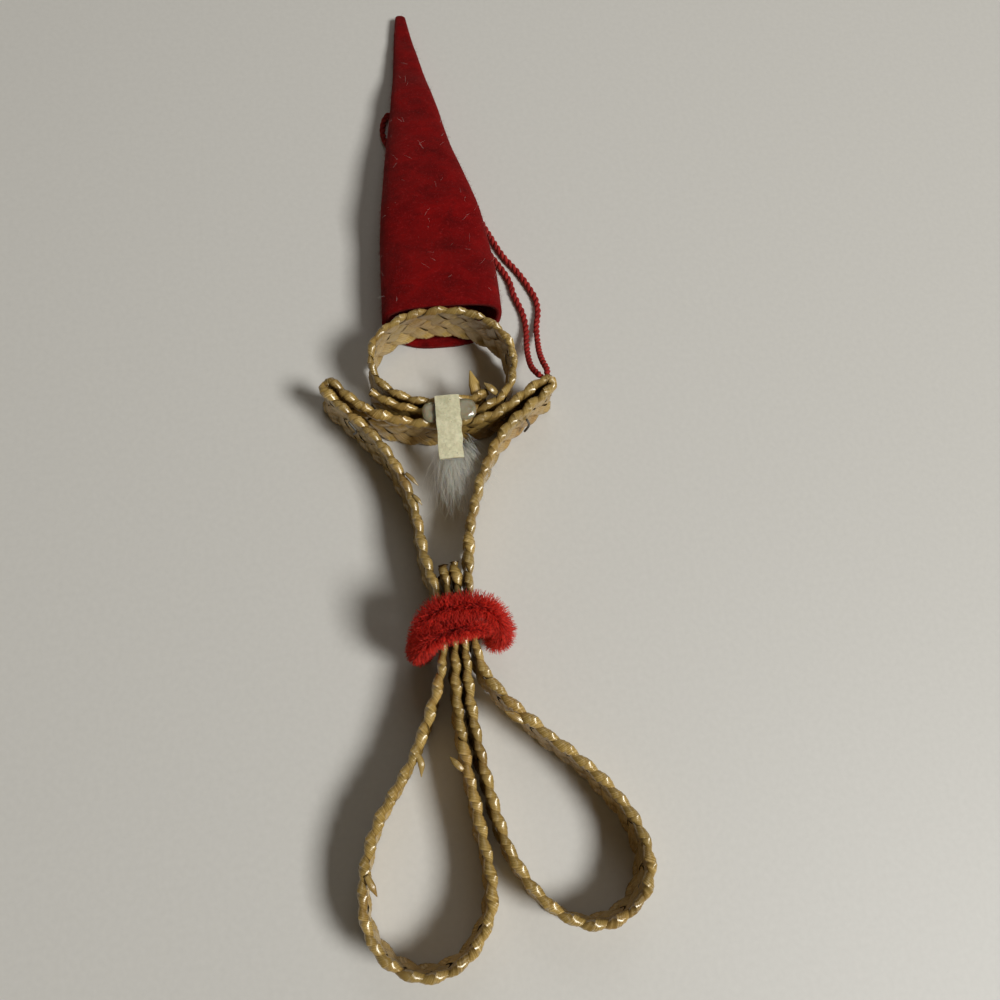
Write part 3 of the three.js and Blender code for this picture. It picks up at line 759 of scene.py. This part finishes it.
def scatter_tree():
    tree = bpy.data.node_groups.new("fibres_on_surface", "GeometryNodeTree")
    socket(tree, "Geometry", "Geometry")
    socket(tree, "Fibre", "Object")
    socket(tree, "Material", "Material")
    socket(tree, "Density", "Float", value=1.0)
    socket(tree, "Thickness", "Float", value=0.00006)
    socket(tree, "Shortest", "Float", value=0.5)
    socket(tree, "Lean", "Float", value=0.3)
    socket(tree, "Seed", "Int", value=1)
    socket(tree, "Keep Base", "Bool", value=False)
    socket(tree, "Geometry", "Geometry", out=True)
    inside = tree.nodes.new("NodeGroupInput")
    points = add(tree, "GeometryNodeDistributePointsOnFaces", links={
        "Mesh": inside.outputs["Geometry"], "Density": inside.outputs["Density"],
        "Seed": inside.outputs["Seed"]})
    push = add(tree, "FunctionNodeRandomValue", {"data_type": "FLOAT_VECTOR"},
               {"Seed": inside.outputs["Seed"]})
    push.inputs[0].default_value = (-1, -1, -1)
    push.inputs[1].default_value = (1, 1, 1)
    lean = add(tree, "ShaderNodeVectorMath", {"operation": "SCALE"},
               {0: push.outputs[0], "Scale": inside.outputs["Lean"]})
    way = add(tree, "ShaderNodeVectorMath", {"operation": "ADD"},
              {0: points.outputs["Normal"], 1: lean.outputs["Vector"]})
    turn = add(tree, "FunctionNodeAlignRotationToVector", {"axis": "Z"},
               {"Vector": way.outputs["Vector"]})
    spin_by = add(tree, "FunctionNodeRandomValue", {"data_type": "FLOAT"},
                  {"Seed": inside.outputs["Seed"]})
    spin_by.inputs[2].default_value = 0.0
    spin_by.inputs[3].default_value = 6.283
    spin_axis = add(tree, "ShaderNodeCombineXYZ", links={"Z": spin_by.outputs[1]})
    spin = add(tree, "FunctionNodeEulerToRotation", links={0: spin_axis.outputs["Vector"]})
    stand = add(tree, "FunctionNodeRotateRotation", {"rotation_space": "LOCAL"},
                {0: turn.outputs[0], 1: spin.outputs[0]})
    pile = add(tree, "GeometryNodeInputNamedAttribute", {"data_type": "FLOAT"}, Name="pile")
    part = add(tree, "FunctionNodeRandomValue", {"data_type": "FLOAT"},
               {2: inside.outputs["Shortest"], "Seed": inside.outputs["Seed"]})
    part.inputs[3].default_value = 1.0
    tall = add(tree, "ShaderNodeMath", {"operation": "MULTIPLY"},
               {0: part.outputs[1], 1: pile.outputs["Attribute"]})
    size = add(tree, "ShaderNodeCombineXYZ", links={
        "X": inside.outputs["Thickness"], "Y": inside.outputs["Thickness"],
        "Z": tall.outputs[0]})
    fibre = add(tree, "GeometryNodeObjectInfo", {"transform_space": "ORIGINAL"},
                {"Object": inside.outputs["Fibre"]})
    placed = add(tree, "GeometryNodeInstanceOnPoints", links={
        "Points": points.outputs["Points"], "Instance": fibre.outputs["Geometry"],
        "Rotation": stand.outputs[0], "Scale": size.outputs["Vector"]})
    tone = add(tree, "FunctionNodeRandomValue", {"data_type": "FLOAT"})
    marked = add(tree, "GeometryNodeStoreNamedAttribute",
                 {"data_type": "FLOAT", "domain": "INSTANCE"},
                 {"Geometry": placed.outputs["Instances"], "Value": tone.outputs[1]}, Name="tone")
    base = add(tree, "GeometryNodeSwitch", {"input_type": "GEOMETRY"},
               {0: inside.outputs["Keep Base"], 2: inside.outputs["Geometry"]})
    both = add(tree, "GeometryNodeJoinGeometry", links={"Geometry": marked.outputs["Geometry"]})
    tree.links.new(base.outputs[0], both.inputs["Geometry"])
    real = add(tree, "GeometryNodeRealizeInstances", links={"Geometry": both.outputs["Geometry"]})
    painted = add(tree, "GeometryNodeSetMaterial", links={
        "Geometry": real.outputs["Geometry"], "Material": inside.outputs["Material"]})
    out = tree.nodes.new("NodeGroupOutput")
    tree.links.new(painted.outputs["Geometry"], out.inputs["Geometry"])
    return tree


SCATTER = scatter_tree()
belt_fibre = fibre_shape("belt_fibre", 2.2, 3)
curved_fibre = fibre_shape("curved_fibre", 9.0, 4)


def ripple(points, size, seed, waves=7):
    """A smooth random value about -1 to 1 at each point, with bumps about size across."""
    rng = np.random.default_rng(seed)
    total = np.zeros(len(points))
    for _ in range(waves):
        way = rng.normal(0, 1, 3)
        way *= 2 * math.pi / size / np.linalg.norm(way) * rng.uniform(0.6, 1.3)
        total += np.sin(points @ way + rng.uniform(0, 6.28))
    return total / math.sqrt(waves)


CLEARANCE = 0.00004           # metres between a bent fibre and the table


def above_floor(obj):
    """Fibres that would reach into the table are bent up to lie on it."""
    places = np.zeros(3 * len(obj.data.vertices))
    obj.data.vertices.foreach_get("co", places)
    places[2::3] = np.maximum(places[2::3], CLEARANCE)
    obj.data.vertices.foreach_set("co", places)
    obj.data.update()


def with_pile(obj, values):
    """Stores the local length of the fibres on a mesh's points."""
    pile = obj.data.attributes.new("pile", "FLOAT", "POINT")
    pile.data.foreach_set("value", values)
    return obj


# %% [markdown]
# The hat is a soft felt cone that lies on its side. Its section is a flattened oval that leans
# on the table, hollow from the mouth to near the tip. The lower felt reaches further than the
# upper at the mouth, under the head ring.

# %% Felt hat
HAT_SIDES = 72
FELT = 1.2
MOUTH_TONGUE = 3.4
HAT_CAVITY_END = 132
hat_stations = [                 # along the hat: y, left x, right x, height
    [65.6, -8, 17.4, 12.8], [75, -7.4, 17.4, 12.8], [84, -6.8, 16.6, 12.2],
    [92, -5.8, 15.2, 11.4], [100, -4.6, 13.3, 10.4], [109, -3.2, 11.2, 8.8],
    [118, -1.6, 9.8, 7.3], [127, -0.2, 8.4, 5.8], [137, 1, 6.9, 4.4], [145, 1.9, 5.8, 3.4],
    [150.4, 2.7, 5.2, 2.5]]


def hump(y):
    """The hat lies over the doubled cord, so its underside is lifted there."""
    return 1.9 * float(ease((y - 82) / 9) * ease((133 - y) / 9))


def hat_ring(station, inset, tongue):
    y, left, right, height = station
    a = -2 * np.pi * np.arange(HAT_SIDES) / HAT_SIDES
    round_x = np.sign(np.cos(a)) * np.abs(np.cos(a)) ** 0.64
    round_z = np.sign(np.sin(a)) * np.abs(np.sin(a)) ** 0.64
    drawn = tongue * np.maximum(0, -np.sin(a)) ** 2.5
    x = (left + right) / 2 + ((right - left) / 2 - inset) * round_x
    z = hump(y) + height / 2 + (height / 2 - inset) * round_z
    return np.stack([x, y - drawn, z], 1)


fine_stations = smooth_route(hat_stations, 1.0)
outer = [hat_ring(s, 0.0, MOUTH_TONGUE * max(0, 1 - k / 4)) for k, s in enumerate(fine_stations)]
inner = [hat_ring(s, FELT, MOUTH_TONGUE * max(0, 1 - k / 4))
         for k, s in enumerate(fine_stations) if s[0] < HAT_CAVITY_END]
tip = fine_stations[-1]
tip_rings = []
for part, ahead in ((0.8, 0.35), (0.45, 0.6)):
    ring = hat_ring(tip, 0.0, 0.0)
    middle = ring.mean(0)
    tip_rings.append(middle + (ring - middle) * part + np.array([0, ahead, 0]))
rings = np.array(inner[::-1] + outer + tip_rings)
hat_points, hat_faces = sweep(rings)
soft = 0.22 * ripple(hat_points, 17.0, 3) + 0.10 * ripple(hat_points, 5.0, 8)
up_part = np.clip(hat_points[:, 2] / 3.0, 0, 1)
hat_points[:, 2] += soft * up_part * np.clip((hat_points[:, 1] - 69) / 6, 0, 1)


def felt_material():
    """Pressed wool: deep red, cloudy, with a pale bloom of loose fibres."""
    material, tree = blank_material("red_felt")
    stretch = add(tree, "ShaderNodeMapping", links={"Vector": object_place(tree)},
                  Rotation=(0.3, 0.2, 0.5), Scale=(1.0, 1.6, 1.0))
    cloud = add(tree, "ShaderNodeTexNoise", links={"Vector": stretch.outputs["Vector"]},
                Scale=170.0, Detail=7.0, Roughness=0.7, Distortion=0.6)
    hair = add(tree, "ShaderNodeTexNoise", links={"Vector": stretch.outputs["Vector"]},
               Scale=1500.0, Detail=4.0, Roughness=0.7, Distortion=1.5)
    ramp = blend(tree, cloud.outputs["Fac"], "#520102", "#800505", 0.30, 0.72)
    speck = add(tree, "ShaderNodeMapRange", links={"Value": hair.outputs["Fac"]}, From_Min=0.56,
                From_Max=0.80)
    colour = add(tree, "ShaderNodeMix", {"data_type": "RGBA"},
                 {"Factor": speck.outputs["Result"], 6: ramp.outputs["Color"]})
    colour.inputs[7].default_value = linear("#A02A2A")
    height = add(tree, "ShaderNodeMath", {"operation": "ADD"},
                 {0: cloud.outputs["Fac"], 1: hair.outputs["Fac"]})
    bump = add(tree, "ShaderNodeBump", links={"Height": height.outputs[0]},
               Strength=0.7, Distance=0.00018)
    surface = add(tree, "ShaderNodeBsdfPrincipled",
                  links={"Base Color": colour.outputs[2], "Normal": bump.outputs["Normal"]},
                  Roughness=0.95, Specular_IOR_Level=0.12, Sheen_Weight=0.16, Sheen_Roughness=0.5,
                  Sheen_Tint=linear("#E06A60"))
    return finished(material, surface)


red_felt = felt_material()
hat = mesh_object("felt_hat", to_row(hat_points), hat_faces, red_felt)
put(hat, "red_felt", "hat")


def fibre_hair(name, dark, light):
    """A plain fibre: its tone attribute chooses between two colours."""
    material, tree = blank_material(name)
    tone = add(tree, "ShaderNodeAttribute", {"attribute_name": "tone"})
    cloud = cloudy(tree, Scale=260.0, Detail=3.0)
    mixed = add(tree, "ShaderNodeMath", {"operation": "MULTIPLY_ADD"},
                {0: tone.outputs["Fac"], 2: cloud.outputs["Fac"]})
    mixed.inputs[1].default_value = 0.8
    ramp = blend(tree, mixed.outputs[0], dark, light, 0.42, 1.0)
    surface = add(tree, "ShaderNodeBsdfPrincipled", links={"Base Color": ramp.outputs["Color"]},
                  Roughness=0.6, Specular_IOR_Level=0.25, Sheen_Weight=0.04,
                  Subsurface_Weight=0.15, Subsurface_Radius=(1.0, 0.2, 0.15),
                  Subsurface_Scale=0.0008)
    return finished(material, surface)


# %% Fuzz on the felt
outside_faces = hat_faces[len(inner) * HAT_SIDES:-2]
fuzz = mesh_object("felt_fuzz", to_row(hat_points), outside_faces, red_felt)
with_pile(fuzz, np.full(len(hat_points), 0.0011) * (0.7 + 0.3 * ripple(hat_points, 6.0, 21)))
run_tree(fuzz, SCATTER, Fibre=curved_fibre, Material=fibre_hair("felt_hair", "#4C0203", "#861212"),
         Density=2.6e6, Thickness=0.000016, Shortest=0.2, Lean=1.9, Seed=5)
above_floor(fuzz)
put(fuzz, "red_felt", "hat")
lint = mesh_object("felt_lint", to_row(hat_points), outside_faces, red_felt)
with_pile(lint, np.full(len(hat_points), 0.0022))
run_tree(lint, SCATTER, Fibre=curved_fibre, Material=fibre_hair("pale_lint", "#C9A9A0", "#F2E6DC"),
         Density=6.0e4, Thickness=0.000014, Shortest=0.3, Lean=6.0, Seed=9)
above_floor(lint)
put(lint, "red_felt", "hat")
print("hat", len(hat_faces), "fuzz", len(fuzz.data.polygons), "lint", len(lint.data.polygons))

# %% [markdown]
# The belt is a chenille stem wound round the waist. Its short fibres stand out all round a thin
# wire, and they are pressed flat where the waist lies on them.

# %% Chenille belt
PILE_R = 3.35
BELT_BOTTOM = 0.95
BELT_FRONT = -1.2
BELT_CURVE = 0.58             # below 1, which squares the corners of the turn
BELT_SLIM = 0.45              # the left side is pressed thinner
BELT_SIDE = -3.4              # its sides sag down to here
BELT_SKEW = 0.4
BELT_TOP = 1.45               # and its top lies up here
CORE_R = 0.45
CORE_SIDES = 8
BELT_HALF_W, BELT_HALF_H = 7.8, 8.85
BELT_MIDDLE = WAIST_LIFT + BAND_W / 2 + 1.25


def belt_line(count=150):
    """Middle line of the closed turn and the length of its pile at each point."""
    a = 2 * np.pi * np.arange(count) / count
    up = np.sin(a)
    square = lambda v: np.sign(v) * np.abs(v) ** BELT_CURVE
    leftward = ease((-np.cos(a) - 0.2) / 0.4)
    under = ease((-up - 0.35) / 0.5)
    full = PILE_R - BELT_SLIM * leftward
    thick = full + (BELT_BOTTOM - full) * under
    side = BELT_SIDE + BELT_SKEW * np.cos(a)
    arch = side + (BELT_TOP - side) * np.clip(up, 0, 1) ** 1.4 + (BELT_FRONT - side) * under
    z = BELT_MIDDLE + BELT_HALF_H * square(up)
    x = (BELT_HALF_W - BELT_SLIM * leftward) * square(np.cos(a))
    line = np.stack([x, arch, np.maximum(z, thick)], 1)
    return line, thick


def core_tube(name, line, thick, closed):
    """A thin tube along a line; the pile length is stored on it."""
    if closed:
        tangent = np.roll(line, -1, 0) - np.roll(line, 1, 0)
        tangent /= np.linalg.norm(tangent, axis=1)[:, None]
        one = np.tile([0, 1.0, 0], (len(line), 1))
        one -= tangent * (one * tangent).sum(1)[:, None]
        one /= np.linalg.norm(one, axis=1)[:, None]
        two = np.cross(tangent, one)
    else:
        tangent, one, two = frames_along(line)
    p, f = sweep(tube_rings(line, one, two, CORE_R, CORE_SIDES), 0, not closed)
    if closed:
        last = (len(line) - 1) * CORE_SIDES
        for j in range(CORE_SIDES):
            k = (j + 1) % CORE_SIDES
            f.append((last + j, last + k, k, j))
    obj = mesh_object(name, to_row(p), f, yarn_material)
    pile = (np.repeat(thick, CORE_SIDES) - CORE_R) * MM
    pile *= 1 + 0.06 * ripple(p, 5.0, 31)
    return with_pile(obj, pile)


belt_hair = fibre_hair("red_chenille", "#8C0A04", "#E02A1A")
ring_line, ring_thick = belt_line()
belt_ring = core_tube("chenille_belt", ring_line, ring_thick, True)
run_tree(belt_ring, SCATTER, Fibre=belt_fibre, Material=belt_hair, Density=8.2e7,
         Thickness=0.000065, Shortest=0.45, Lean=0.62, Seed=3, **{"Keep Base": True})
above_floor(belt_ring)
put(belt_ring, "chenille", "belt")
turn_line = smooth_route([[-7.3, -4.3, 8.5], [-7.2, -4.5, 13], [-5.9, -4.1, 16.9],
                          [-2.4, -2.7, 18.1], [2.4, -2.6, 18], [5, -2.9, 17.2]], 0.4)
part_way = np.linspace(0, 1, len(turn_line))
turn_thick = 2.9 * np.sqrt(np.minimum(1, 0.35 + 3 * (1 - part_way)))
belt_turn = core_tube("chenille_end", turn_line, turn_thick, False)
run_tree(belt_turn, SCATTER, Fibre=belt_fibre, Material=belt_hair, Density=8.2e7,
         Thickness=0.000065, Shortest=0.45, Lean=0.62, Seed=4, **{"Keep Base": True})
above_floor(belt_turn)
put(belt_turn, "chenille", "belt")
print("belt fibres", len(belt_ring.data.polygons), len(belt_turn.data.polygons))

# %% [markdown]
# At the neck a strip of cream paper tape holds the ends of the plaits and a wisp of white wool,
# over two lumps of clear dried glue.

# %% Paper tape
TAPE_W = 4.9
TAPE_T = 0.4
tape_rows = [[0.6, 44.9, 13.3], [0.55, 42.6, 13.35], [0.5, 40, 13.3], [0.45, 38.4, 12.9],
             [0.4, 35.6, 11.7], [0.4, 32.6, 10.6]]


def paper_material():
    material, tree = blank_material("cream_paper")
    pulp = cloudy(tree, Scale=900.0, Detail=6.0, Roughness=0.7)
    fleck = cloudy(tree, Scale=2600.0, Detail=2.0)
    ramp = blend(tree, pulp.outputs["Fac"], "#B9B28C", "#DDD6B2", 0.32, 0.62)
    dots = add(tree, "ShaderNodeMapRange", links={"Value": fleck.outputs["Fac"]}, From_Min=0.66,
               From_Max=0.76)
    colour = add(tree, "ShaderNodeMix", {"data_type": "RGBA"},
                 {"Factor": dots.outputs["Result"], 6: ramp.outputs["Color"]})
    colour.inputs[7].default_value = linear("#8E8870")
    bump = add(tree, "ShaderNodeBump", links={"Height": pulp.outputs["Fac"]},
               Strength=0.4, Distance=0.00012)
    surface = add(tree, "ShaderNodeBsdfPrincipled",
                  links={"Base Color": colour.outputs[2], "Normal": bump.outputs["Normal"]},
                  Roughness=0.75, Subsurface_Weight=0.1, Subsurface_Scale=0.0005)
    return finished(material, surface)


tape_line = smooth_route(tape_rows, 0.33)
edge = ripple(tape_line, 2.4, 41) * 0.07
edge_right = ripple(tape_line, 1.9, 43) * 0.09
cross = np.linspace(0, 1, 9)
top_rows = []
for k, (x, y, z) in enumerate(tape_line):
    xs = x + edge[k] + cross * (TAPE_W - edge[k] + edge_right[k])
    crown = 0.15 * np.sin(np.pi * cross)
    top_rows.append(np.stack([xs, np.full(9, y), z + crown + TAPE_T], 1))
top_rows = np.array(top_rows)
low_rows = top_rows[:, ::-1] - np.array([0, 0, TAPE_T])
tape_points, tape_faces = sweep(np.concatenate([top_rows, low_rows], axis=1)[:, ::-1])
tape = mesh_object("paper_tape", to_row(tape_points), tape_faces, paper_material(), smooth=False)
put(tape, "paper_tape", "beard_tape")
print("tape", len(tape_faces))


# %% Dried glue
def glue_material():
    material, tree = blank_material("clear_glue")
    lump = cloudy(tree, Scale=420.0, Detail=3.0)
    ramp = blend(tree, lump.outputs["Fac"], "#B8AC8A", "#D8CEB0")
    bump = add(tree, "ShaderNodeBump", links={"Height": lump.outputs["Fac"]},
               Strength=0.6, Distance=0.0004)
    surface = add(tree, "ShaderNodeBsdfPrincipled",
                  links={"Base Color": ramp.outputs["Color"], "Normal": bump.outputs["Normal"]},
                  Roughness=0.12, IOR=1.46, Transmission_Weight=0.6, Subsurface_Weight=0.3,
                  Subsurface_Scale=0.001)
    return finished(material, surface)


glue_rows = np.array([[-2.0, 41.2, 43.0], [-1.7, 40.6, 43.6], [-0.6, 39.9, 44.3],
                      [1.2, 39.7, 44.3], [3, 39.8, 44.3], [5, 39.8, 44.3], [6.6, 39.9, 44.5],
                      [8.1, 40.4, 44.0], [8.7, 41.2, 43.1]])
fine_glue = smooth_route(glue_rows, 0.35)
rings = []
for k, (x, low_y, high_y) in enumerate(fine_glue):
    end = min(k, len(fine_glue) - 1 - k)
    rise = 0.15 + 0.45 * min(1, end / 4)
    y = np.linspace(low_y, high_y, 12)
    bulge = rise * np.sin(np.pi * np.linspace(0, 1, 12)) ** 0.5
    top = np.stack([np.full(12, x), y, 12.3 + bulge], 1)
    top[:, 2] += 0.12 * ripple(top, 1.6, 51) * bulge / rise
    low = np.stack([np.full(12, x), y, np.full(12, 12.25)], 1)[::-1]
    rings.append(np.vstack([top, low])[::-1])
glue_points, glue_faces = sweep(np.array(rings))
glue = mesh_object("clear_glue", to_row(glue_points), glue_faces, glue_material())
put(glue, "glue", "glue")


# %% White wool
def wool_material():
    material, tree = blank_material("white_wool")
    shade = cloudy(tree, Scale=700.0, Detail=2.0)
    ramp = blend(tree, shade.outputs["Fac"], "#E0D6C4", "#FFF6E6")
    surface = add(tree, "ShaderNodeBsdfPrincipled", links={"Base Color": ramp.outputs["Color"]},
                  Roughness=0.5, Subsurface_Weight=0.3, Subsurface_Scale=0.0005)
    return finished(material, surface)


WOOL_R = 0.018
WIRE_R = 0.25


def wool_fibres(count, seed):
    """Long fine fibres that fan out downwards from under the tape, and a few to its right."""
    rng = np.random.default_rng(seed)
    points, faces = [], []
    for k in range(count):
        aside = k % 5 == 0
        x0 = rng.uniform(4.6, 7.2) if aside else rng.normal(3.0, 1.3)
        start = np.array([x0, rng.uniform(33, 38) if aside else rng.uniform(32.5, 35.5),
                          rng.uniform(8.6, 10.4)])
        long = rng.uniform(4, 8) if aside else rng.uniform(3.5, 12)
        fan = rng.normal(0.9 if aside else 0.0, 0.9) + (x0 - 3.0) * 0.25
        t = np.linspace(0, 1, 12)
        wander = rng.normal(0, 0.85, 3)[:, None] * np.sin(
            np.pi * t * rng.uniform(0.8, 2.6) + rng.uniform(0, 6.28))[None]
        line = start + np.stack([
            fan * 1.8 * t + wander[0] * t, -long * t + wander[1] * t * 0.5,
            -rng.uniform(0.5, 3.5) * t + wander[2] * t], 1)
        _, n1, n2 = frames_along(line)
        r = WOOL_R * (1 - 0.4 * t)[:, None, None]
        p, f = sweep(tube_rings(line, n1, n2, r, 3), sum(len(q) for q in points))
        points.append(p)
        faces += f
    return np.vstack(points), faces


wool_points, wool_faces = wool_fibres(520, 12)
wool = mesh_object("wool_beard", to_row(wool_points), wool_faces, wool_material())
put(wool, "white_wool", "beard")
print("wool", len(wool_faces))


# %% Staples
def wire_material():
    material, tree = blank_material("dull_wire")
    dull = cloudy(tree, Scale=900.0, Detail=4.0)
    ramp = blend(tree, dull.outputs["Fac"], "#3E3A34", "#7C776E")
    rough = add(tree, "ShaderNodeMapRange", links={"Value": dull.outputs["Fac"]}, To_Min=0.35,
                To_Max=0.6)
    surface = add(tree, "ShaderNodeBsdfPrincipled",
                  links={"Base Color": ramp.outputs["Color"], "Roughness": rough.outputs[0]},
                  Metallic=1.0)
    return finished(material, surface)


dull_wire = wire_material()


def wire(name, points, node):
    line = smooth_route(points, 0.12)
    _, n1, n2 = frames_along(line)
    p, f = sweep(tube_rings(line, n1, n2, WIRE_R, 10))
    obj = mesh_object(name, to_row(p), f, dull_wire)
    return put(obj, "staple_wire", node)


wire("staple_left", [[-16.5, 41.75, 11.9], [-16, 41.15, 11.3], [-15.35, 40.35, 10.8],
                     [-15.3, 40.3, 9.6], [-15.8, 40.9, 7.6]], "left_staple")
wire("staple_right", [[18.9, 39.7, 10], [19.4, 40.05, 8], [20, 40.5, 5.2],
                      [19.9, 40.45, 3.9], [19.2, 39.95, 3]], "right_staple")

# %% Finish
low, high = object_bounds()
print("size", [round(c, 4) for c in high - low])
